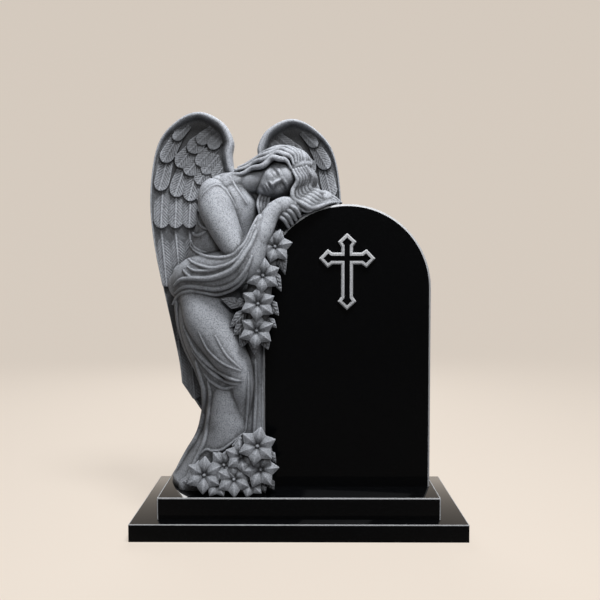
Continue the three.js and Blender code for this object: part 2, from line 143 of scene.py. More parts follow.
def makeTablet(name, grow=0.0):
    radius = (stone["width"] / 2 + grow) * mm
    spring = (stone["top"] - stone["width"] / 2) * mm
    front = (stone["front"] - grow) * mm
    deselect()
    bpy.ops.mesh.primitive_circle_add(
        vertices=2 * stone["arcSteps"], radius=radius, fill_type="NGON",
        location=(stone["centre"] * mm, front, spring), rotation=(math.pi / 2, 0, 0))
    tablet = bpy.context.object
    tablet.name = tablet.data.name = name
    bpy.ops.object.transform_apply(location=True, rotation=True, scale=True)
    bpy.ops.object.mode_set(mode="EDIT")
    bpy.ops.mesh.select_all(action="SELECT")
    bpy.ops.mesh.bisect(plane_co=(0, 0, spring), plane_no=(0, 0, 1), clear_inner=True)
    pickEdges(tablet, lambda a, b: abs(a.z - spring) < 1e-6 and abs(b.z - spring) < 1e-6)
    down = (0, 0, (stone["foot"] - grow) * mm - spring)
    bpy.ops.mesh.extrude_region_move(TRANSFORM_OT_translate={"value": down})
    bpy.ops.mesh.select_all(action="SELECT")
    bpy.ops.mesh.dissolve_limited(angle_limit=math.radians(0.1))
    bpy.ops.mesh.select_all(action="SELECT")
    through = (0, (stone["thick"] + 2 * grow) * mm, 0)
    bpy.ops.mesh.extrude_region_move(TRANSFORM_OT_translate={"value": through})
    bpy.ops.mesh.select_all(action="SELECT")
    bpy.ops.mesh.normals_make_consistent(inside=False)
    bpy.ops.object.mode_set(mode="OBJECT")
    return tablet


def crossOutline():
    reaches = [cross["width"] / 2, cross["armDrop"], cross["width"] / 2, cross["height"] - cross["armDrop"]]
    outline = []
    for quarter, reach in enumerate(reaches):
        turn = Matrix.Rotation(quarter * math.pi / 2, 2)
        shaft, bud = cross["shaft"], cross["bud"]
        for along, aside in ((shaft, -shaft), (reach - cross["budEnd"], -shaft),
                             (reach - cross["budAt"], -bud),
                             (reach, 0), (reach - cross["budAt"], bud), (reach - cross["budEnd"], shaft)):
            spot = turn @ Vector((along, aside))
            outline.append((spot.x + stone["centre"], spot.y + cross["top"] - cross["armDrop"]))
    return outline


def makeCross():
    rooted = stone["front"] + cross["rooted"]
    ring = [(x * mm, rooted * mm, z * mm) for x, z in crossOutline()]
    relief = newPiece("cross_relief", ring, [list(range(len(ring)))])
    bpy.ops.object.mode_set(mode="EDIT")
    bpy.ops.mesh.select_all(action="SELECT")
    straight = cross["raise"] - cross["arris"] + cross["rooted"]
    bpy.ops.mesh.extrude_region_move(TRANSFORM_OT_translate={"value": (0, -straight * mm, 0)})
    for thickness, depth in ((cross["arris"], cross["arris"]), (cross["border"] - cross["arris"], 0),
                             (1, -cross["sink"])):
        bpy.ops.mesh.inset(thickness=thickness * mm, depth=depth * mm)
    bpy.ops.mesh.select_all(action="SELECT")
    bpy.ops.mesh.normals_make_consistent(inside=False)
    bpy.ops.object.mode_set(mode="OBJECT")
    return relief


def makeHeadstone():
    tablet = makeTablet("headstone_tablet")
    foot = (stone["foot"] + 1) * mm
    frontBack = [stone["front"] * mm, (stone["front"] + stone["thick"]) * mm]

    def rim(a, b):
        flat = abs(a.y - b.y) < 1e-6 and min(abs(a.y - y) for y in frontBack) < 1e-6
        return flat and max(a.z, b.z) > foot

    pickEdges(tablet, rim)
    bpy.ops.mesh.bevel(offset=stone["arris"] * mm, segments=1, affect="EDGES")
    bpy.ops.object.mode_set(mode="OBJECT")
    relief = makeCross()
    applyModifier(tablet, "BOOLEAN", operation="UNION", solver="MANIFOLD", object=relief)
    bpy.data.objects.remove(relief)
    front = stone["front"] * mm
    field = front - (cross["raise"] - cross["sink"] + 1) * mm

    # the raised cross has a frosted finish; the pale colour on the tablet's chamfers is a painted highlight
    # of light glinting on the edge
    def frostedAndGlinting(face):
        onCross = face.center.y < front - 0.5 * mm
        floor = onCross and face.normal.y < -0.99 and face.center.y > field
        chamfer = 0.3 < abs(face.normal.y) < 0.95
        return (onCross and not floor) or (chamfer and not onCross)

    markFaces(tablet, "frostAndChamferGlint", frostedAndGlinting)
    take(tablet)
    bpy.ops.object.shade_smooth_by_angle(angle=math.radians(12))
    print("headstone", len(tablet.data.polygons), "faces")
    return settle(tablet, "headstone")


headstone = makeHeadstone()


# Forms for the carving: lofted limbs, rolls, feathers, petals

def curveThrough(points, count):
    rows = np.array(points, float)
    ends = np.vstack([2 * rows[0] - rows[1], rows, 2 * rows[-1] - rows[-2]])
    place = np.linspace(0, len(rows) - 1, count)
    i = np.minimum(place.astype(int), len(rows) - 2)
    f = (place - i)[:, None]
    a, b, c, d = (ends[i + k] for k in range(4))
    return 0.5 * (2 * b + (c - a) * f + (2 * a - 5 * b + 4 * c - d) * f**2 + (3 * b - a - 3 * c + d) * f**3)


def unit(rows):
    return rows / np.maximum(np.linalg.norm(rows, axis=-1, keepdims=True), 1e-9)


def between(first, last, share, bulge=0.0):
    rows = (1 - share) * np.array(first, float) + share * np.array(last, float)
    rows[:, 2] += 4 * share * (1 - share) * bulge
    return rows


def bell(x, middle, width):
    return np.exp(-(((x - middle) / width) ** 2))


def ballGrid(rings, sides, edge):  # a unit ball's points, poles along y, and the faces between them
    v, u = np.meshgrid(np.linspace(edge, np.pi - edge, rings),
                       np.linspace(0, 2 * np.pi, sides, endpoint=False), indexing="ij")
    points = np.stack([np.sin(v) * np.sin(u), np.cos(v), np.sin(v) * np.cos(u)], -1)
    i, j = np.meshgrid(np.arange(rings - 1), np.arange(sides), indexing="ij")
    near, far = i * sides + j, i * sides + (j + 1) % sides
    faces = np.stack([near, near + sides, far + sides, far], -1).reshape(-1, 4).tolist()
    last = (rings - 1) * sides
    return points, faces + [list(range(sides)), list(range(last, last + sides))[::-1]]


class Carving:  # closed forms gathered into one rough block
    def __init__(self):
        self.points, self.faces, self.count = [], [], 0

    def add(self, points, faces):
        self.points.append(np.asarray(points, float))
        self.faces += [[k + self.count for k in face] for face in faces]
        self.count += len(points)

    def tube(self, stations, sides=28, steps=48, across=(1, 0, 0), relief=None):
        rows = curveThrough([list(s) + [s[-1]] * (5 - len(s)) for s in stations], steps)
        rows[:, 3:] = np.maximum(rows[:, 3:], 0.8)
        tangent = unit(np.gradient(rows[:, :3], axis=0))
        domes = np.radians([82, 60, 35, 15])
        start = [np.r_[rows[0, :3] - tangent[0] * rows[0, 3:].min() * np.sin(a),
                       rows[0, 3:] * np.cos(a)] for a in domes]
        end = [np.r_[rows[-1, :3] + tangent[-1] * rows[-1, 3:].min() * np.sin(a),
                     rows[-1, 3:] * np.cos(a)] for a in domes]
        rows = np.vstack([start, rows, end[::-1]])
        tangent = np.vstack([[tangent[0]] * len(domes), tangent, [tangent[-1]] * len(domes)])
        wide = np.array(across, float) - tangent * (tangent @ np.array(across, float))[:, None]
        wide = unit(wide)
        deep = np.cross(tangent, wide)
        turn = np.linspace(0, 2 * np.pi, sides, endpoint=False)
        along = np.linspace(0, 1, len(rows))
        swell = relief(along[:, None], turn[None]) if relief else np.ones((len(rows), sides))
        offset = wide[:, None] * (rows[:, 3:4] * np.cos(turn) * swell)[..., None]
        offset = offset + deep[:, None] * (rows[:, 4:5] * np.sin(turn) * swell)[..., None]
        points = (rows[:, None, :3] + offset).reshape(-1, 3)
        i, j = np.meshgrid(np.arange(len(rows) - 1), np.arange(sides), indexing="ij")
        near, far = i * sides + j, i * sides + (j + 1) % sides
        faces = np.stack([near, far, far + sides, near + sides], -1).reshape(-1, 4).tolist()
        last = (len(rows) - 1) * sides
        self.add(points, faces + [list(range(sides))[::-1], list(range(last, last + sides))])

    def plate(self, top, bottom):  # two grids of points joined round their edges
        rows, columns = top.shape[:2]
        i, j = np.meshgrid(np.arange(rows - 1), np.arange(columns - 1), indexing="ij")
        a = i * columns + j
        upper = np.stack([a, a + 1, a + columns + 1, a + columns], -1).reshape(-1, 4)
        lower = upper[:, ::-1] + rows * columns
        index = np.arange(rows * columns).reshape(rows, columns)
        edge = np.r_[index[0, :-1], index[:-1, -1], index[-1, :0:-1], index[:0:-1, 0]]
        nextEdge = np.roll(edge, -1)
        wall = np.stack([nextEdge, edge, edge + rows * columns, nextEdge + rows * columns], -1)
        points = np.vstack([top.reshape(-1, 3), bottom.reshape(-1, 3)])
        self.add(points, upper.tolist() + lower.tolist() + wall.tolist())

    def ball(self, centre, radius, steps=20):
        self.tube([[*centre[:2], centre[2] - 0.01, radius], [*centre[:2], centre[2] + 0.01, radius]],
                  sides=steps, steps=2)

    def surface(self):
        points = np.vstack(self.points)
        return BVHTree.FromPolygons(points.tolist(), self.faces)

    def block(self, name):
        return newPiece(name, (np.vstack(self.points) * mm).tolist(), self.faces)


def drapedRidge(carving, tree, path, radius, sink=0.35, fromBack=False, taper=0.3):
    length = np.linalg.norm(np.diff(np.array(path, float), axis=0), axis=1).sum()
    line = curveThrough(path, max(8, int(length / 7)))
    aim = Vector((0, -1, 0)) if fromBack else Vector((0, 1, 0))
    hits = [tree.ray_cast(Vector((x, 0, z)) - aim * 900, aim)[0] for x, z in line]
    kept = [k for k, hit in enumerate(hits) if hit]
    depth = np.interp(np.arange(len(line)), kept, [hits[k].y for k in kept])
    padded = np.r_[depth[:1], depth[:1], depth, depth[-1:], depth[-1:]]
    depth = sum(padded[k:k + len(depth)] for k in range(5)) / 5
    share = np.linspace(0, 1, len(line))
    size = radius * (taper + (1 - taper) * np.sqrt(np.sin(np.pi * share).clip(0, 1)))
    stations = np.c_[line[:, 0], depth + aim.y * sink * size, line[:, 1], size, size]
    carving.tube(stations.tolist(), sides=12, steps=2 * len(line), across=(0, 1, 0))


# Figure: body, gown, shawl, head and hair

body = {
    "torso": [[-314, -25, 676, 60, 60], [-316, -30, 795, 128, 108], [-304, -35, 897, 122, 104],
              [-288, -40, 989, 108, 94],
              [-269, -45, 1079, 102, 92], [-247, -45, 1159, 104, 86], [-225, -42, 1206, 92, 72],
              [-196, -45, 1246, 40, 42]],
    "yoke": [[-186, -54, 1234, 40, 40], [-240, -62, 1222, 46, 46], [-292, -80, 1190, 54, 50]],
    "neck": [[-221, -50, 1220, 48, 46], [-169, -65, 1229, 41, 41], [-111, -80, 1241, 42, 42]],
    "upperArm": [[-284, -76, 1212, 44, 42], [-296, -90, 1190, 60, 56], [-290, -110, 1139, 66, 60],
                 [-270, -135, 1085, 58, 54], [-240, -156, 1024, 50, 48], [-210, -168, 975, 44, 42],
                 [-186, -170, 948, 36, 34]],
    "forearm": [[-190, -168, 940, 34, 32], [-162, -172, 985, 40, 38], [-128, -165, 1048, 38, 34],
                [-101, -150, 1104, 31, 28], [-77, -142, 1136, 27, 22]],
    "palm": [[-94, -142, 1126, 26, 20], [-52, -139, 1141, 32, 19], [-17, -132, 1141, 26, 14]],
    "thumb": [[-28, -136, 1149, 10], [-6, -132, 1138, 9], [2, -120, 1118, 7]],
    "farArm": [[-170, -20, 1180, 62, 56], [-90, -20, 1160, 52, 48], [0, -40, 1160, 44, 42],
               [90, -56, 1170, 34, 34]],
    "knuckle": [-75, -145, 1106], "nextKnuckle": [13.5, 0, 12.5], "fingerBend": [22, 3, -14],
    "fingerTip": [37, 25, -38],
    "fingerRadius": [9, 8.6, 6.8],
}


def carveBody(figure):
    figure.tube(body["torso"], sides=64, steps=90)
    figure.tube(body["yoke"], sides=36, steps=30, across=(0, 0, 1))
    figure.tube(body["neck"], sides=36, steps=24)
    figure.tube(body["upperArm"], sides=40, steps=60)
    figure.tube(body["forearm"], sides=36, steps=44)
    figure.tube(body["palm"], sides=32, steps=24, across=(0.5, 0, 0.87))
    figure.tube(body["thumb"], sides=16, steps=16)
    figure.tube(body["farArm"], sides=32, steps=30, across=(0, 0, 1))
    for finger in range(4):
        knuckle = np.array(body["knuckle"]) + finger * np.array(body["nextKnuckle"])
        joints = [knuckle, knuckle + body["fingerBend"], knuckle + body["fingerTip"]]
        figure.tube([[*p, r] for p, r in zip(joints, body["fingerRadius"])], sides=16, steps=20)


gown = {
    "skirt": [[-315, -35, 843, 120, 106], [-316, -35, 720, 122, 112], [-284, -35, 566, 100, 112],
              [-240, -35, 437, 105, 114], [-243, -35, 325, 110, 120], [-264, -32, 242, 132, 130],
              [-298, -25, 120, 174, 148]],
    "leg": [[-343, -72, 822, 88, 74], [-312, -105, 735, 92, 72], [-258, -132, 633, 70, 62],
            [-222, -142, 574, 56, 54],
            [-206, -138, 513, 46, 47], [-212, -118, 417, 40, 42], [-240, -100, 260, 46, 42]],
    "trail": [[-174, -60, 822, 44, 50], [-168, -60, 600, 45, 58], [-161, -58, 404, 46, 64],
              [-181, -50, 128, 60, 84]],
    "panel": [[-240, -70, 560, 66, 62], [-241, -92, 490, 72, 72], [-246, -96, 410, 76, 74],
              [-252, -94, 330, 82, 74],
              [-272, -84, 245, 100, 74]],
    "folds": [  # radius, then points (x, z) along the fold
        (6, [(-349, 700), (-316, 639), (-266, 595), (-203, 567)]),
        (5, [(-290, 690), (-251, 623), (-200, 574)]),
        (10, [(-414, 716), (-366, 631), (-306, 575), (-242, 542), (-204, 531)]),
        (8, [(-385, 640), (-369, 618), (-315, 559), (-261, 526), (-212, 520)]),
        (7, [(-335, 545), (-306, 518), (-262, 500), (-208, 516)]),
        (16, [(-368, 590), (-346, 522), (-337, 471), (-346, 389), (-366, 313), (-408, 246), (-448, 182)]),
        (12, [(-322, 525), (-314, 464), (-321, 383), (-336, 302), (-377, 216), (-405, 165)]),
        (7, [(-176, 560), (-179, 480), (-186, 400), (-191, 340)]),
        (8, [(-156, 600), (-156, 455), (-162, 320)]),
        (5, [(-132, 640), (-131, 451), (-131, 311)]),
    ],
    "hem": (7, [(-374, 232), (-331, 277), (-304, 277), (-274, 283), (-239, 307), (-210, 330), (-189, 346)]),
    "seams": [
        (4.5, [(-245, 1249), (-223, 1209), (-198, 1172), (-182, 1148)]),
        (4.5, [(-354, 1145), (-338, 1177), (-317, 1200), (-288, 1215), (-261, 1200), (-241, 1173),
               (-223, 1136), (-211, 1090)]),
        (6, [(-369, 1140), (-368, 1118), (-360, 1093), (-345, 1071), (-318, 1058)]),
        (7, [(-384, 1051), (-369, 1040), (-347, 1042), (-322, 1056)]),
        (5, [(-392, 1025), (-374, 1000), (-350, 985), (-320, 978)]),
    ],
    "backFolds": (12, [(-330, -50), (-300, -20), (-268, 0), (-236, 0), (-200, 10), (-165, 20)]),
    # x and sway of each
}


def carveGown(figure):
    figure.tube(gown["skirt"], sides=96, steps=120)
    figure.tube(gown["leg"], sides=48, steps=90)
    figure.tube(gown["trail"], sides=40, steps=90)
    figure.tube(gown["panel"], sides=48, steps=50)


shawl = {
    "bulk": [[-126, -158, 1090, 24, 22], [-149, -174, 1010, 46, 36], [-194, -178, 937, 60, 48],
             [-284, -140, 906, 74, 52], [-377, -85, 891, 72, 54], [-430, -30, 861, 56, 50]],
    "fall": [[-444, -35, 806, 16, 30], [-437, -30, 714, 13, 30], [-411, -28, 626, 13, 30],
             [-374, -26, 553, 13, 30],
             [-352, -25, 495, 12, 28], [-344, -25, 428, 10, 24]],
    "behind": [[-425, -20, 880, 58, 40], [-370, 22, 900, 64, 40], [-220, 32, 895, 66, 34],
               [-140, 10, 880, 50, 34]],
    "rolls": [  # radius, then points (x, z) along the roll, from the hip to the wrist
        (8, [(-393, 1005), (-368, 983), (-333, 966), (-294, 959), (-259, 959), (-230, 966), (-202, 988),
             (-181, 1013),
             (-161, 1059), (-140, 1105), (-132, 1116)]),
        (8, [(-394, 958), (-373, 943), (-341, 931), (-302, 923), (-266, 927), (-230, 941), (-205, 959),
             (-188, 985),
             (-168, 1020), (-151, 1070)]),
        (6, [(-394, 929), (-368, 915), (-325, 913), (-287, 918), (-252, 929)]),
        (7, [(-411, 918), (-394, 902), (-373, 890), (-350, 888)]),
        (12, [(-450, 859), (-416, 882), (-373, 887), (-318, 887), (-273, 896), (-230, 915), (-202, 943),
              (-182, 975),
              (-161, 1010), (-146, 1050)]),
        (11, [(-450, 831), (-416, 852), (-382, 859), (-333, 855), (-288, 852), (-245, 862), (-206, 885),
              (-178, 922),
              (-160, 965)]),
        (11, [(-462, 790), (-431, 826), (-382, 842), (-334, 839), (-288, 834), (-245, 845), (-213, 863),
              (-189, 887),
              (-175, 911)])],
    "fallRidges": [(5, [(-445, 790), (-438, 714), (-412, 628), (-375, 554), (-353, 498)])],
}


def carveShawl(figure):
    figure.tube(shawl["bulk"], sides=40, steps=70, across=(0, 0, 1))
    figure.tube(shawl["fall"], sides=28, steps=60)
    figure.tube(shawl["behind"], sides=32, steps=40, across=(0, 0, 1))


head = {
    "middle": [-75, -70, 1240], "up": (0.854, 0, 0.52), "out": (-0.05, -0.97, -0.2),
    "half": (64, 91.5, 80), "jawTaper": 0.34, "chin": 6, "grid": (150, 190, 0.004),
    "bumps": [  # across, up, spread across, spread up, height; all but those on the middle line come in pairs
        (0, 46, 40, 24, 2), (25, 15, 16, 6, 5), (0, 9, 7, 7, -2), (28, 1, 14, 9, -9), (28, -1, 11, 8, 8.5),
        (38, -21, 16, 13, 5), (33, -50, 12, 14, -2), (9.5, -30, 5, 5, 5), (0, -50, 22, 15, 6),
        (6, -46.5, 8, 3, 3.6), (0, -55.5, 11, 4, 4), (0, -64, 12, 5, -1.6), (0, -77, 14, 10, 7),
    ],
    "nose": {"top": 8, "bottom": -31, "startHeight": 3.5, "rise": 11, "startWidth": 6.5, "spread": 3.5},
    "mouthLine": (-51, 15, 1.9, -3.2), "lashLine": (-8.5, 14, 1.7, -3.6), "lidCrease": (6.5, 13, 1.6, -2.2),
}


def headMatrix():
    up, out = Vector(head["up"]).normalized(), Vector(head["out"])
    across = up.cross(out).normalized()
    ahead = across.cross(up).normalized()
    place = Matrix((across, up, ahead)).transposed().to_4x4()
    place.translation = Vector(head["middle"])
    return np.array(place)


def placed(points):
    turned = headMatrix()
    return np.asarray(points) @ turned[:3, :3].T + turned[:3, 3]


def faceHeight(x, y):
    height = np.zeros_like(x)
    for across, up, wide, tall, rise in head["bumps"]:
        for side in ((1, -1) if across else (1,)):
            height += rise * bell(x, side * across, wide) * bell(y, up, tall)
    nose = head["nose"]
    share = ((nose["top"] - y) / (nose["top"] - nose["bottom"])).clip(0, 1)
    fade = np.where(y < nose["bottom"], bell(y, nose["bottom"], 4.5),
                    np.where(y > nose["top"], bell(y, nose["top"], 9), 1))
    girth = nose["startWidth"] + nose["spread"] * share
    height += (nose["startHeight"] + nose["rise"] * share) * fade * bell(x, 0, girth)
    level, reach, thin, depth = head["mouthLine"]
    height += depth * bell(y, level - (x / 17) ** 2, thin) * bell(x, 0, reach)
    for line, bow in (("lashLine", 3.0), ("lidCrease", -3.0)):
        level, reach, thin, depth = head[line]
        for side in (1, -1):
            arc = (x - side * 28) / 14
            height += depth * bell(y, level + bow * arc**2, thin) * bell(arc, 0, 0.95)
    return height


def carveHead(figure):
    normal, faces = ballGrid(*head["grid"])
    low = np.maximum(0, -normal[..., 1])
    jaw = 1 - head["jawTaper"] * low**2
    half = head["half"]
    x, y = normal[..., 0] * half[0] * jaw, normal[..., 1] * half[1]
    z = normal[..., 2] * half[2] * jaw + head["chin"] * low
    z = z + faceHeight(x, y) * np.clip(normal[..., 2] * 2.2, 0, 1)
    figure.add(placed(np.stack([x, y, z], -1).reshape(-1, 3)), faces)


hair = {
    "cap": {"half": (69, 95, 80), "shift": (0, 7, -20), "grid": (60, 80, 0.01)},
    "browFirst": [[-28, -140, 1272], [-52, -142, 1299], [-80, -138, 1307], [-112, -128, 1295],
                  [-148, -112, 1279], [-188, -95, 1264], [-236, -85, 1255]],
    "browLast": [[11, -118, 1282], [18, -98, 1321], [-14, -80, 1343], [-64, -64, 1348],
                 [-112, -52, 1334], [-155, -42, 1308], [-192, -36, 1284]],
    "crownLast": [[34, -76, 1284], [42, -46, 1306], [10, -14, 1326], [-45, 0, 1332], [-100, 6, 1316],
                  [-145, 10, 1290], [-180, 12, 1266]],
    "sideFirst": [[-21, -138, 1265], [-7, -140, 1234], [-21, -138, 1199], [-10, -134, 1161],
                  [25, -126, 1138], [64, -118, 1140], [108, -108, 1153]],
    "sideLast": [[25, -110, 1280], [44, -100, 1249], [36, -92, 1214], [54, -84, 1195],
                 [89, -72, 1187], [122, -62, 1175], [151, -54, 1159]],
    "napeLast": [[40, -64, 1282], [60, -52, 1247], [56, -40, 1214], [72, -32, 1194], [102, -26, 1186],
                 [130, -22, 1174], [150, -20, 1160]],
    "chinFirst": [[-132, -96, 1193], [-146, -100, 1150], [-138, -112, 1107], [-152, -120, 1071]],
    "chinLast": [[-104, -96, 1176], [-112, -104, 1143], [-106, -116, 1110], [-112, -122, 1080]],
    "wristFirst": [[-17, -132, 1190], [-7, -130, 1148], [14, -126, 1126], [43, -120, 1124]],
    "wristLast": [[-4, -124, 1180], [8, -120, 1140], [30, -116, 1124], [60, -112, 1132]],
    "backFirst": [[-40, -10, 1300], [-84, 16, 1240], [-104, 34, 1150], [-122, 38, 980]],
    "backLast": [[-150, -10, 1280], [-180, 22, 1220], [-202, 38, 1150], [-222, 40, 1030]],
    "part": [[-30, -128, 1270, 12], [-8, -116, 1285, 16], [16, -100, 1292, 16], [34, -80, 1292, 13]],
    "bed": [[0, -88, 1185, 22, 26], [30, -74, 1152, 24, 34], [80, -62, 1150, 22, 36],
            [136, -54, 1150, 10, 24]],
    "fullness": 0.58, "thinnest": 3.5, "thickest": 11, "stray": 0.3, "steps": 90,
    "strands": [  # guides, count, bulge, waves, sway
        ("browFirst", "browLast", 6, 18, 3.0, 7), ("browLast", "crownLast", 5, 6, 3.2, 4),
        ("sideFirst", "sideLast", 6, 0, 2.8, 5), ("sideLast", "napeLast", 4, 0, 2.8, 4),
        ("chinFirst", "chinLast", 4, 0, 2.0, 3), ("wristFirst", "wristLast", 3, 0, 1.5, 2.5),
        ("backFirst", "backLast", 6, 0, 2.6, 6),
    ],
}


def carveHair(figure):
    cap = hair["cap"]
    shell, faces = ballGrid(*cap["grid"])
    figure.add(placed((shell * cap["half"] + cap["shift"]).reshape(-1, 3)), faces)
    figure.tube(hair["part"], sides=20, steps=24, across=(0, 1, 0))
    figure.tube(hair["bed"], sides=28, steps=30, across=(0, 0, 1))
    middle = np.array(head["middle"], float)
    for first, last, count, bulge, waves, sway in hair["strands"]:
        apart = curveThrough(hair[last], hair["steps"]) - curveThrough(hair[first], hair["steps"])
        spacing = np.linalg.norm(apart, axis=1) / (count - 1)
        thickness = (hair["fullness"] * spacing).clip(hair["thinnest"], hair["thickest"])
        for k in range(count):
            line = curveThrough(between(hair[first], hair[last], k / (count - 1), bulge), hair["steps"])
            share = np.linspace(0, 1, len(line))
            tangent = unit(np.gradient(line, axis=0))
            outward = unit(line - middle)
            aside = unit(np.cross(tangent, outward))
            held = np.sin(np.pi * share.clip(0.04, 0.96)) ** 0.5
            swing = np.sin(2 * np.pi * waves * share + 0.3 * k) * held
            stray = hair["stray"] * sway * np.sin(7 * k + 9 * share)
            line = line + aside * (sway * swing)[:, None] + outward * stray[:, None]
            size = thickness * (0.7 + 0.3 * np.sin(np.pi * share.clip(0.03, 0.97)) ** 0.6)
            figure.tube(np.c_[line, size, size].tolist(), sides=14, steps=hair["steps"], across=(0.1, 1, 0.2))


def carveFolds(figure):
    tree = figure.surface()
    for radius, path in gown["folds"] + gown["seams"] + [gown["hem"]] + shawl["rolls"] + shawl["fallRidges"]:
        drapedRidge(figure, tree, path, radius)
    radius, columns = gown["backFolds"]
    for x, sway in columns:
        drapedRidge(figure, tree, [(x, 820), (x + 8, 560), (x, 330), (x + sway - 20, 160)], radius,
                    fromBack=True)


figure = Carving()
carveBody(figure)
carveGown(figure)
carveShawl(figure)
carveHead(figure)
carveFolds(figure)
carveHair(figure)
print("figure forms", figure.count)


# Wings: a hollowed plate with a rounded leading edge, and ribbed feathers laid over one another

wing = {
    "middle": -200, "front": 30, "back": 74, "rightDrop": 26, "rimRise": 24, "rimSlope": 1.3,
    "dish": 14, "dishFrom": 1180, "dishFull": 1400, "dishMargin": 60, "hollowShade": 0.8,
    "outline": [  # out from the middle, height, width of the rim there
        [(46, 1302, 24), (50, 1345, 26), (46, 1400, 28), (84, 1464, 24), (170, 1502, 20), (258, 1466, 15),
         (328, 1376, 9), (356, 1200, 6), (345, 1026, 5), (308, 840, 5), (254, 590, 5), (240, 492, 5)],
        [(170, 386, 5), (80, 640, 8), (12, 1000, 10), (10, 1190, 18), (46, 1302, 24)]],
    "coverts": [  # tip out, tip height, length, half width, lean outwards, relief
        (267, 1398, 80, 20, 44, 0.5), (134, 1366, 80, 24, 40, 0.3), (178, 1385, 80, 25, 46, 0.45),
        (211, 1354, 95, 30, 46, 0.7), (307, 1315, 130, 27, 30, 0.9), (253, 1298, 110, 31, 38, 0.9),
        (181, 1305, 100, 26, 44, 0.7), (222, 1270, 105, 31, 40, 0.9), (159, 1274, 90, 24, 40, 0.7),
        (118, 1251, 90, 27, 36, 0.7), (179, 1234, 105, 29, 34, 0.9), (321, 1209, 150, 28, 14, 1),
        (264, 1187, 150, 30, 18, 1), (212, 1171, 150, 30, 14, 1), (160, 1158, 140, 30, 10, 1),
        (112, 1150, 120, 28, 6, 1)],
    "rows": [  # tip height, innermost and outermost tip, feathers, length, half width, lean
        (1070, 104, 315, 5, 190, 30, 2), (852, 136, 294, 4, 300, 29, -6), (430, 150, 234, 3, 440, 27, -5)],
    "backRows": [(1350, 96, 288, 5, 140, 29, 14), (1215, 72, 324, 6, 205, 31, 8),
                 (1030, 60, 328, 7, 285, 30, 0),
                 (760, 84, 288, 6, 390, 28, -5), (430, 140, 246, 4, 520, 27, -5)],
    "sunk": 8, "proud": 9, "crown": 5, "root": 16, "rib": 3, "ribHalf": 3.2, "barb": 3.4, "barbPitch": 12,
}


def wingPlace(side, drop, out, y, z):
    return np.stack(np.broadcast_arrays(wing["middle"] + side * np.asarray(out, float), y,
                                        np.asarray(z, float) - drop), -1)


def carveFeather(carving, side, drop, face, tipOut, tipZ, length, half, lean, relief=1.0):
    angle = math.radians(lean)
    v, u = np.meshgrid(np.linspace(0, 1, max(24, int(length / 2.6))), np.linspace(-1, 1, 25), indexing="ij")
    tipShare = min(0.5, 1.25 * half / length)
    rounding = np.sqrt(np.clip(1 - ((v - 1 + tipShare) / tipShare).clip(0, 0.998) ** 2, 0, 1))
    width = half * (0.7 + 0.3 * np.clip(v / 0.6, 0, 1)) * rounding
    down, aside = length * (1 - v), width * u
    out = tipOut - math.sin(angle) * down + math.cos(angle) * aside
    z = tipZ + math.cos(angle) * down + math.sin(angle) * aside
    quill = wing["rib"] * bell(aside, 0, wing["ribHalf"]) * (1 - 0.5 * v)
    lift = wing["proud"] * v + wing["crown"] * (1 - u**2) * v + quill
    barbs = (0.5 + 0.5 * np.cos(2 * np.pi * (down + 1.1 * np.abs(aside)) / wing["barbPitch"])) ** 3
    fromQuill, fromEdge = np.clip(np.abs(aside) / 5, 0, 1), np.clip((1 - np.abs(u)) * 5, 0, 1)
    lift = lift - wing["barb"] * barbs * fromQuill * fromEdge
    lift = relief * lift - wing["sunk"] * (1 - v)
    level = wing["front"] if face < 0 else wing["back"]
    top = wingPlace(side, drop, out, level + face * lift, z)
    carving.plate(top, wingPlace(side, drop, out, level - face * wing["root"] + 0 * out, z))


def wingOutline():
    outer, inner = wing["outline"]
    return np.vstack([curveThrough(outer, 150), curveThrough(inner, 70)[:-1]])


def wingHollow(spread, near):  # 1 in the dished top of the wing, 0 at its rim and lower down
    height = np.clip((spread[:, 1] - wing["dishFrom"]) / (wing["dishFull"] - wing["dishFrom"]), 0, 1)
    inside = np.clip(near / wing["dishMargin"], 0, 1)
    return height * inside**2 * (3 - 2 * inside)


def wingHollowShade(side, drop):  # painted shade: the dished top is darkened where the rim's shadow falls
    edge = wingOutline()[:, :2]

    def darkening(place):
        spread = np.stack([side * (place[:, 0] - wing["middle"]), place[:, 2] + drop], -1)
        near = np.concatenate([np.linalg.norm(rows[:, None] - edge[None], axis=2).min(1)
                               for rows in np.array_split(spread, 60)])
        return wing["hollowShade"] * wingHollow(spread,
                                           near) * (place[:, 1] < (wing["front"] + wing["back"]) / 2)

    return darkening


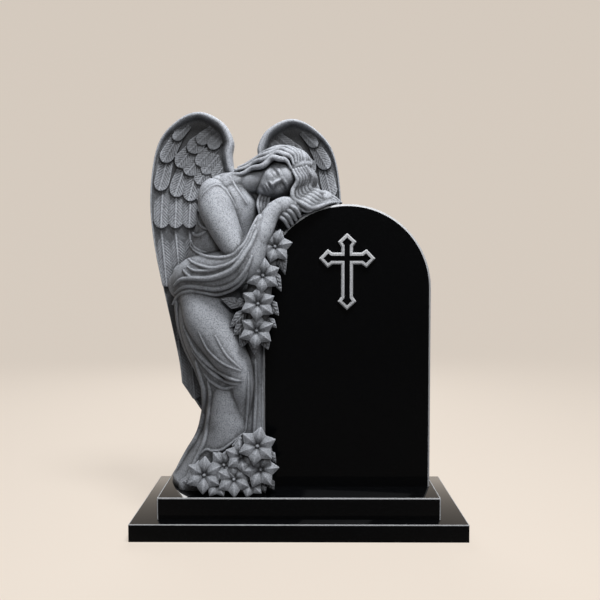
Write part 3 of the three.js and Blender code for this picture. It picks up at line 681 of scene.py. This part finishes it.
def carveWing(side, drop):
    carving = Carving()
    outline = wingOutline()
    edge, widths = outline[:, :2], outline[:, 2]
    centre = edge.mean(axis=0)
    rings = np.r_[np.linspace(1, 0.8, 22), np.linspace(0.79, 0.02, 24)]
    spread = (centre + (edge - centre) * rings[:, None, None]).reshape(-1, 2)
    gaps = np.linalg.norm(spread[:, None] - edge[None], axis=2)
    near, width = gaps.min(1), widths[gaps.argmin(1)]
    t = near / width
    fall = 1 - np.clip((t - 0.7) / 1.0, 0, 1)
    arch = np.sqrt(1 - (1 - np.clip(t / 0.5, 0, 1)) ** 2)
    rise = np.minimum(wing["rimRise"], wing["rimSlope"] * width) * arch
    rise = rise * fall**2 * (3 - 2 * fall) - wing["dish"] * wingHollow(spread, near)
    front = wingPlace(side, drop, spread[:, 0], wing["front"] - rise, spread[:, 1])
    back = wingPlace(side, drop, spread[:, 0], wing["back"], spread[:, 1])
    sides, offset = len(edge), len(front)
    i, j = np.meshgrid(np.arange(len(rings) - 1), np.arange(sides), indexing="ij")
    a, b = i * sides + j, i * sides + (j + 1) % sides
    sheet = np.stack([a, b, b + sides, a + sides], -1).reshape(-1, 4)
    heart = list(range((len(rings) - 1) * sides, len(rings) * sides))
    loop = np.arange(sides)
    wall = np.stack([np.roll(loop, -1), loop, loop + offset, np.roll(loop, -1) + offset], -1)
    ends = [heart, [k + offset for k in heart][::-1]]
    carving.add(np.vstack([front, back]),
                sheet.tolist() + (sheet[:, ::-1] + offset).tolist() + wall.tolist() + ends)
    for feather in wing["coverts"]:
        carveFeather(carving, side, drop, -1, *feather)
    for face, rows in ((-1, wing["rows"]), (1, wing["backRows"])):
        for tipZ, inner, outer, count, length, half, lean in rows:
            for tipOut in np.linspace(inner, outer, count):
                carveFeather(carving, side, drop, face, tipOut, tipZ, length, half, lean)
    return carving


def wingBounds(name, side, drop):  # a block of the wing's outline, to trim stray feather tips
    edge = wingOutline()[:, :2]
    rows = [wingPlace(side, drop, edge[:, 0], y, edge[:, 1]) * mm for y in (-60, 160)]
    loop = np.arange(len(edge))
    walls = np.stack([loop, np.roll(loop, -1), np.roll(loop, -1) + len(edge), loop + len(edge)], -1)
    faces = walls.tolist() + [loop[::-1].tolist(), (loop + len(edge)).tolist()]
    block = newPiece(name, np.vstack(rows).tolist(), faces)
    bpy.ops.object.mode_set(mode="EDIT")
    bpy.ops.mesh.select_all(action="SELECT")
    bpy.ops.mesh.normals_make_consistent(inside=False)
    bpy.ops.object.mode_set(mode="OBJECT")
    return block


leftWing, rightWing = carveWing(-1, 0), carveWing(1, wing["rightDrop"])
print("wing forms", leftWing.count + rightWing.count)


# Lilies and leaves: the garland and the flowers at the foot

lily = {"radius": 63, "half": 28, "cup": 16, "ridge": 10.5, "thick": 9, "bead": 6.5, "throat": 11,
        "droop": 6, "petals": 6}
leaf = {"half": 22, "ridge": 6, "vein": 1.5, "veinPitch": 17, "thick": 12, "curl": 7, "groove": 4}
garland = {
    "stem": [[-95, -125, 1036, 30, 24], [-109, -130, 966, 40, 30], [-130, -140, 895, 42, 36],
             [-145, -144, 800, 44, 38],
             [-152, -142, 704, 40, 34], [-152, -138, 668, 18, 18]],
    "stemAcross": (1, 0, 0),
    "lilies": [(-84, -156, 998, 1, 0.3), (-125, -182, 897, 1, 0.52), (-142, -186, 800, 1, 0.52),
               (-147, -184, 706, 1, 0.5)],
    "faces": (0.1, -1, 0.1),
    "leaves": [(-200, -168, 792, 161, 77), (-182, -172, 811, 200, 50), (-180, -172, 779, 226, 92),
               (-179, -170, 740, 226, 78), (-178, -168, 706, 246, 74), (-154, -166, 690, 268, 72),
               (-128, -164, 694, 290, 62), (-70, -142, 979, 285, 82), (-97, -152, 916, 295, 84),
               (-109, -156, 811, 305, 68), (-111, -158, 747, 314, 48), (-101, -140, 1028, 95, 40),
               (-80, -135, 1021, 53, 42)],
}
footBed = {
    "stem": [[-402, -128, 140, 34, 28], [-333, -136, 170, 56, 36], [-244, -140, 206, 60, 40],
             [-173, -134, 248, 56, 40],
             [-131, -126, 268, 42, 36]],
    "stemAcross": (0, 0, 1),
    "lilies": [(-144, -192, 303, 1.08, 0.35), (-200, -184, 266, 0.95, 0.7), (-133, -196, 222, 1.05, 0.1),
               (-330, -190, 200, 1.05, 0.5), (-262, -178, 232, 0.95, 0.2), (-226, -198, 188, 1.0, 0.6),
               (-168, -200, 176, 0.85, 0.3), (-284, -198, 172, 0.8, 0)],
    "faces": (0, -1, 0.35),
    "leaves": [(-258, -172, 226, 115, 60), (-222, -167, 272, 73, 65), (-108, -178, 281, 304, 50),
               (-107, -188, 185, 298, 45),
               (-344, -182, 171, 177, 68), (-359, -176, 219, 75, 32), (-274, -196, 171, 315, 40),
               (-204, -198, 160, 310, 30),
               (-326, -192, 158, 214, 29), (-128, -198, 171, 288, 36)],
}


def carveLily(flowers, x, y, z, size, turn, faces):
    out = Vector(faces).normalized()
    tilt = np.array(Vector((0, 0, 1)).rotation_difference(out).to_matrix())
    radius = lily["radius"] * size
    v, u = np.meshgrid(np.linspace(0, 1, 26), np.linspace(-1, 1, 17), indexing="ij")
    kite = np.minimum(0.25 + 0.75 * v / 0.45, (1 - v) / 0.55).clip(0.02, 1)
    width = lily["half"] * size * kite**0.85
    lift = lily["cup"] * size * (1 - (1 - v) ** 2.2) - lily["droop"] * size * v**3
    lift = lift + lily["ridge"] * size * (1 - np.abs(u)) * np.sin(np.pi * v.clip(0.08, 0.97)) ** 0.6
    lift = lift - lily["throat"] * size * bell(v, 0, 0.17)
    for petal in range(lily["petals"]):
        angle = turn + petal * 2 * math.pi / lily["petals"]
        cosine, sine = math.cos(angle), math.sin(angle)
        spin = np.array([[cosine, -sine, 0], [sine, cosine, 0], [0, 0, 1]])
        top = np.stack([radius * v, width * u, lift], -1)
        bottom = np.stack([radius * v * 0.96, width * u * 0.9,
                           lift * 0.4 - lily["thick"] * size * (1.6 - 1.2 * v)], -1)
        flowers.plate(*(grid @ spin.T @ tilt.T + (x, y, z) for grid in (top, bottom)))
    heart = np.array([x, y, z])
    flowers.ball(heart - 0.3 * radius * np.array(out), 0.33 * radius, 24)
    flowers.ball(heart + 0.06 * radius * np.array(out), lily["bead"] * size, 18)


def carveLeaf(flowers, x, y, z, degrees, length):
    angle = math.radians(degrees)
    along = np.array([math.cos(angle), 0, math.sin(angle)])
    aside = np.array([-math.sin(angle), 0, math.cos(angle)])
    v, u = np.meshgrid(np.linspace(0, 1, 34), np.linspace(-1, 1, 19), indexing="ij")
    half = min(leaf["half"], 0.36 * length)
    width = half * np.minimum(0.2 + 2 * v, 1.55 * (1 - v)).clip(0.03, 1) ** 0.8
    lift = leaf["ridge"] * (1 - np.abs(u)) + leaf["curl"] * np.sin(np.pi * v)
    lift = lift - leaf["curl"] * v**2 - leaf["groove"] * bell(u, 0, 0.14)
    veins = np.cos(2 * np.pi * (length * v - 1.2 * np.abs(u) * width) / leaf["veinPitch"])
    lift = lift + leaf["vein"] * veins * np.clip(4 * np.abs(u) * (1 - np.abs(u)), 0, 1)
    spine = np.array([x, y, z]) + along * (length * v)[..., None] + aside * (width * u)[..., None]
    front = np.array([0, -1, 0])
    flowers.plate(spine + front * lift[..., None],
                  spine - front * (leaf["thick"] * (1 - 0.6 * v))[..., None])


def carveBed(bed):
    flowers = Carving()
    flowers.tube(bed["stem"], sides=32, steps=60, across=bed["stemAcross"])
    for spot in bed["lilies"]:
        carveLily(flowers, *spot, bed["faces"])
    for spot in bed["leaves"]:
        carveLeaf(flowers, *spot)
    return flowers


hanging, standing = carveBed(garland), carveBed(footBed)
print("flower forms", hanging.count + standing.count)


# Cutting the block: one skin, worn edges, fitted to the headstone and the plinth

chisel = {
    "angel_figure": {"voxel": 2.3, "rounds": 3, "triangles": 190000},
    "angel_wing_left": {"voxel": 2.0, "rounds": 1, "triangles": 170000},
    "angel_wing_right": {"voxel": 2.0, "rounds": 1, "triangles": 170000},
    "garland_lilies": {"voxel": 1.6, "rounds": 1, "triangles": 150000},
    "foot_lilies": {"voxel": 1.6, "rounds": 1, "triangles": 150000},
}
fitGap = 0.4
quickVoxel = 5.0


def largestPart(piece):
    take(piece)
    bpy.ops.object.mode_set(mode="EDIT")
    bpy.ops.mesh.select_all(action="SELECT")
    bpy.ops.mesh.separate(type="LOOSE")
    bpy.ops.object.mode_set(mode="OBJECT")
    parts = sorted(bpy.context.selected_objects, key=lambda part: len(part.data.vertices))
    for crumb in parts[:-1]:
        bpy.data.objects.remove(crumb)
    return take(parts[-1])


def markPaintedShade(piece, hollowShade):
    mesh = piece.data
    count = len(mesh.vertices)
    place, normal = np.empty(count * 3), np.empty(count * 3)
    mesh.vertices.foreach_get("co", place)
    mesh.vertex_normals.foreach_get("vector", normal)
    place, normal = place.reshape(-1, 3), normal.reshape(-1, 3)
    edges = np.empty(len(mesh.edges) * 2, int)
    mesh.edges.foreach_get("vertices", edges)
    a, b = edges.reshape(-1, 2).T
    degree = np.bincount(a, minlength=count) + np.bincount(b, minlength=count)
    soft, relief, done = place.copy(), np.zeros(count), 0
    # relief: painted highlight on ridges and painted shade in creases, from how far each point stands out
    # from its smoothed copies at three scales
    for rounds, height in ((3, 0.6), (12, 2.0), (40, 5.0)):
        for _ in range(rounds - done):
            total = [np.bincount(a, soft[b, k], count) + np.bincount(b, soft[a, k], count) for k in range(3)]
            soft = 0.5 * soft + 0.5 * np.stack(total, -1) / degree[:, None]
        done = rounds
        relief += np.tanh(((place - soft) * normal).sum(1) / (height * mm)) / 3
    # hollowShade: painted shade in the wing's dished top, under the rim
    darkening = hollowShade(place / mm) if hollowShade else np.zeros(count)
    for name, values in (("relief", relief), ("hollowShade", darkening)):
        layer = mesh.attributes.new(name, "FLOAT", "POINT")
        layer.data.foreach_set("value", values)


def cutStone(name, carving, cutters, operation, hollowShade=None):
    values = chisel[name]
    piece = carving.block(name)
    applyModifier(piece, "REMESH", mode="VOXEL",
                  voxel_size=(values["voxel"] if fineCut else quickVoxel) * mm)
    applyModifier(piece, "SMOOTH", factor=0.4, iterations=values["rounds"])
    for cutter in cutters:
        applyModifier(piece, "BOOLEAN", operation=operation, solver="MANIFOLD", object=cutter)
    piece = largestPart(piece)
    piece.name = piece.data.name = name
    mesh = piece.data
    mesh.calc_loop_triangles()
    ratio = values["triangles"] / len(mesh.loop_triangles)
    if ratio < 1:
        applyModifier(piece, "DECIMATE", ratio=ratio)
    take(piece)
    bpy.ops.object.shade_smooth()
    markPaintedShade(piece, hollowShade)
    print(name, len(piece.data.polygons), "faces")
    return settle(piece, "angel")


tabletRoom = makeTablet("tablet_room", fitGap)
deselect()
bpy.ops.mesh.primitive_cube_add(size=2, location=(0, 0, stone["foot"] * mm - 1))
seat = [tabletRoom, bpy.context.object]
leftBounds, rightBounds = wingBounds("left_bounds", -1, 0), wingBounds("right_bounds", 1, wing["rightDrop"])
angelPieces = [
    cutStone("angel_figure", figure, seat, "DIFFERENCE"),
    cutStone("angel_wing_left", leftWing, [leftBounds], "INTERSECT", wingHollowShade(-1, 0)),
    cutStone("angel_wing_right", rightWing, [rightBounds], "INTERSECT", wingHollowShade(1, wing["rightDrop"])),
    cutStone("garland_lilies", hanging, seat, "DIFFERENCE"),
    cutStone("foot_lilies", standing, seat, "DIFFERENCE"),
]
for cutter in seat + [leftBounds, rightBounds]:
    bpy.data.objects.remove(cutter)


# Finishes

class Socket:  # a node's output that takes part in sums
    def __init__(self, finish, output):
        self.finish, self.output = finish, output

    def sum(self, operation, first, second):
        return self.finish.node("ShaderNodeMath", {"operation": operation}, {0: first, 1: second})

    def __add__(self, other):
        return self.sum("ADD", self, other)

    def __sub__(self, other):
        return self.sum("SUBTRACT", self, other)

    def __rsub__(self, other):
        return self.sum("SUBTRACT", other, self)

    def __mul__(self, other):
        return self.sum("MULTIPLY", self, other)

    def __pow__(self, other):
        return self.sum("POWER", self, other)

    __radd__, __rmul__ = __add__, __mul__

    def within(self, low, high):  # 0 at low, 1 at high, held between
        return self.finish.node("ShaderNodeMapRange", {"clamp": True},
                                {"Value": self, "From Min": low, "From Max": high})


class Finish:  # one material and its nodes
    def __init__(self, name):
        self.material = bpy.data.materials.new(name)
        self.material.use_nodes = True
        self.tree = self.material.node_tree
        self.shader = self.tree.nodes["Principled BSDF"]

    def node(self, kind, settings=None, inputs=None, output=0):
        made = self.tree.nodes.new(kind)
        for key, value in (settings or {}).items():
            setattr(made, key, value)
        for key, value in (inputs or {}).items():
            self.feed(made.inputs[key], value)
        return Socket(self, made.outputs[output])

    def feed(self, entry, value):
        if isinstance(value, Socket):
            self.tree.links.new(value.output, entry)
        else:
            entry.default_value = value

    def set(self, **values):
        for key, value in values.items():
            self.feed(self.shader.inputs[key.replace("_", " ")], value)

    def blend(self, share, first, second):
        return self.node("ShaderNodeMix", {"data_type": "RGBA"}, {0: share, 6: first, 7: second}, 2)

    def grain(self, scale, detail=2.0):
        place = self.node("ShaderNodeTexCoord", output=3)
        return self.node("ShaderNodeTexNoise", None,
                         {"Vector": place, "Scale": scale, "Detail": detail, "Roughness": 0.6})

    def mark(self, name):
        return self.node("ShaderNodeAttribute", {"attribute_name": name}, output=2)

    def bump(self, height, strength, distance):
        return self.node("ShaderNodeBump", None,
                         {"Height": height, "Strength": strength, "Distance": distance})


polish = {"dark": (0.0016, 0.0018, 0.0022, 1), "fleck": (0.02, 0.021, 0.0225, 1),
          "frostAndChamferGlint": (0.62, 0.63, 0.65, 1), "pit": (0.05, 0.05, 0.055, 1), "pitShare": 0.7,
          "fleckScale": 420, "fleckRange": (0.6, 0.78), "paleScale": 500, "paleRange": (0.3, 0.7),
          "gloss": 0.06, "paleRough": 0.5, "specular": 0.025, "coatIor": 2.4, "coatRough": 0.04}


def polishedGranite():
    finish = Finish("polished black granite")
    frostAndChamferGlint = finish.mark("frostAndChamferGlint")
    fleck = finish.grain(polish["fleckScale"]).within(*polish["fleckRange"])
    speckle = finish.grain(polish["paleScale"]).within(*polish["paleRange"])
    dark = finish.blend(fleck, polish["dark"], polish["fleck"])
    pale = finish.blend(speckle * polish["pitShare"], polish["frostAndChamferGlint"], polish["pit"])
    # pale: the frosted finish of the cross, and a painted highlight on the chamfers of the tablet and slabs
    finish.set(Base_Color=finish.blend(frostAndChamferGlint, dark, pale),
               Roughness=polish["gloss"] + frostAndChamferGlint * polish["paleRough"])
    slant = finish.node("ShaderNodeLayerWeight", None, {"Blend": 0.5}, 1)
    finish.set(Coat_Weight=slant**2 * (1 - frostAndChamferGlint), Specular_IOR_Level=polish["specular"],
               Coat_IOR=polish["coatIor"], Coat_Roughness=polish["coatRough"])
    return finish.material


# low and high: the painted crease shade and painted ridge highlight that the relief mark blends between
carved = {"deep": (0.006, 0.0065, 0.0075, 1), "low": (0.045, 0.048, 0.054, 1), "high": (0.38, 0.4, 0.44, 1),
          "black": (0.02, 0.021, 0.024, 1), "white": (0.6, 0.63, 0.68, 1), "grit": 260, "mottle": 45,
          "rough": 0.7, "shadeReach": 0.06, "shadeRange": (0.18, 0.86), "creaseShadeGain": 1.3, "midTone": 0.45,
          "mottleShare": 0.5, "fineness": 2.3, "grainRange": (0, 0.14), "pepperFrom": 0.52, "pepper": 0.6,
          "saltFrom": 0.5, "salt": 0.35, "specular": 0.3, "bumpStrength": 0.3, "bumpDepth": 0.0012}


def carvedGranite():
    finish = Finish("carved grey granite")
    relief = finish.mark("relief")
    shade = finish.node("ShaderNodeAmbientOcclusion", {"samples": 8}, {"Distance": carved["shadeReach"]}, 1)
    grit = finish.grain(carved["grit"])
    fine = finish.grain(carved["fineness"] * carved["grit"])
    mottle = finish.grain(carved["mottle"], 3.0)
    patches = (mottle - 0.5) * carved["mottleShare"]
    # tone: painted shade in creases and painted highlight on ridges from the relief mark, plus random mottle
    tone = (relief * carved["creaseShadeGain"] + carved["midTone"] + patches).within(0, 1)
    body = finish.blend(tone, carved["low"], carved["high"])
    pepper = (carved["pepperFrom"] - grit).within(*carved["grainRange"]) * carved["pepper"]
    salt = (fine - carved["saltFrom"]).within(*carved["grainRange"]) * carved["salt"]
    peppered = finish.blend(pepper, body, carved["black"])
    salted = finish.blend(salt, peppered, carved["white"])
    # painted shade: ambient occlusion darkens crevices and the gaps between parts towards the deep colour
    creviceShaded = finish.blend(shade.within(*carved["shadeRange"]), carved["deep"], salted)
    # painted shade: the wing's dished top darkened towards the deep colour
    hollowShaded = finish.blend(finish.mark("hollowShade"), creviceShaded, carved["deep"])
    finish.set(Base_Color=hollowShaded, Roughness=carved["rough"], Specular_IOR_Level=carved["specular"],
               Normal=finish.bump(grit, carved["bumpStrength"], carved["bumpDepth"]))
    return finish.material


polishedFinish, carvedFinish = polishedGranite(), carvedGranite()
for piece in slabPieces + [headstone]:
    piece.data.materials.clear()
    piece.data.materials.append(polishedFinish)
for piece in angelPieces:
    piece.data.materials.clear()
    piece.data.materials.append(carvedFinish)
print("finishes laid")


# Studio: pale floor that sweeps up behind, soft lights, camera

studio = {"paper": (0.716, 0.638, 0.558, 1), "glow": 0.88, "bounce": 0.25, "radius": 7.0, "wallHeight": 6.0,
          "sweep": 2.0, "air": (0.72, 0.74, 0.78, 1), "airStrength": 0.1, "aim": (0, 0, 0.8)}
lamps = [  # name, place, size, power
    ("key", (0.35, -1.0, 3.5), 0.7, 112), ("front", (0.6, -3.2, 2.4), 1.2, 42),
    ("back", (-0.4, 3.2, 2.6), 2.0, 70)]
lens = {"place": (0.0167, -2.7034, 0.9261), "pitchDown": 0.045, "yawLeft": 0.005, "focalPixels": 729,
        "framePixels": 600}


def makeStudio():
    deselect()
    bpy.ops.mesh.primitive_circle_add(vertices=96, radius=studio["radius"], fill_type="NGON")
    floor = bpy.context.object
    floor.name = floor.data.name = "studio_floor"
    pickEdges(floor, lambda a, b: True)
    bpy.ops.mesh.region_to_loop()
    bpy.ops.mesh.extrude_region_move(TRANSFORM_OT_translate={"value": (0, 0, studio["wallHeight"])})
    pickEdges(floor, lambda a, b: max(a.z, b.z) < 1e-4)
    bpy.ops.mesh.bevel(offset=studio["sweep"], segments=16, affect="EDGES")
    bpy.ops.mesh.select_all(action="SELECT")
    bpy.ops.mesh.flip_normals()
    bpy.ops.object.mode_set(mode="OBJECT")
    bpy.ops.object.shade_smooth()
    finish = Finish("studio paper")
    finish.set(Base_Color=[studio["bounce"] * c for c in studio["paper"]], Roughness=0.9,
               Emission_Color=studio["paper"])
    finish.shader.inputs["Emission Strength"].default_value = studio["glow"]
    finish.shader.inputs["Specular IOR Level"].default_value = 0.1
    floor.data.materials.append(finish.material)
    floor.visible_diffuse = False  # the paper shows and mirrors, without lighting the undersides
    world = bpy.data.worlds.new("studio air")
    bpy.context.scene.world = world
    world.use_nodes = True
    air = world.node_tree.nodes["Background"]
    air.inputs["Color"].default_value = studio["air"]
    air.inputs["Strength"].default_value = studio["airStrength"]
    for name, place, size, power in lamps:
        deselect()
        bpy.ops.object.light_add(type="AREA", location=place)
        lamp = bpy.context.object
        lamp.name, lamp.data.size, lamp.data.energy = name, size, power
        lamp.rotation_euler = (Vector(studio["aim"]) - Vector(place)).to_track_quat("-Z", "Y").to_euler()
    bpy.ops.object.camera_add(location=lens["place"],
                              rotation=(math.pi / 2 - lens["pitchDown"], 0, lens["yawLeft"]))
    camera = bpy.context.object
    camera.data.lens = lens["focalPixels"] / lens["framePixels"] * camera.data.sensor_width
    bpy.context.scene.camera = camera
    bpy.context.scene.view_settings.view_transform = "Standard"
    deselect()
    print("studio ready")


makeStudio()
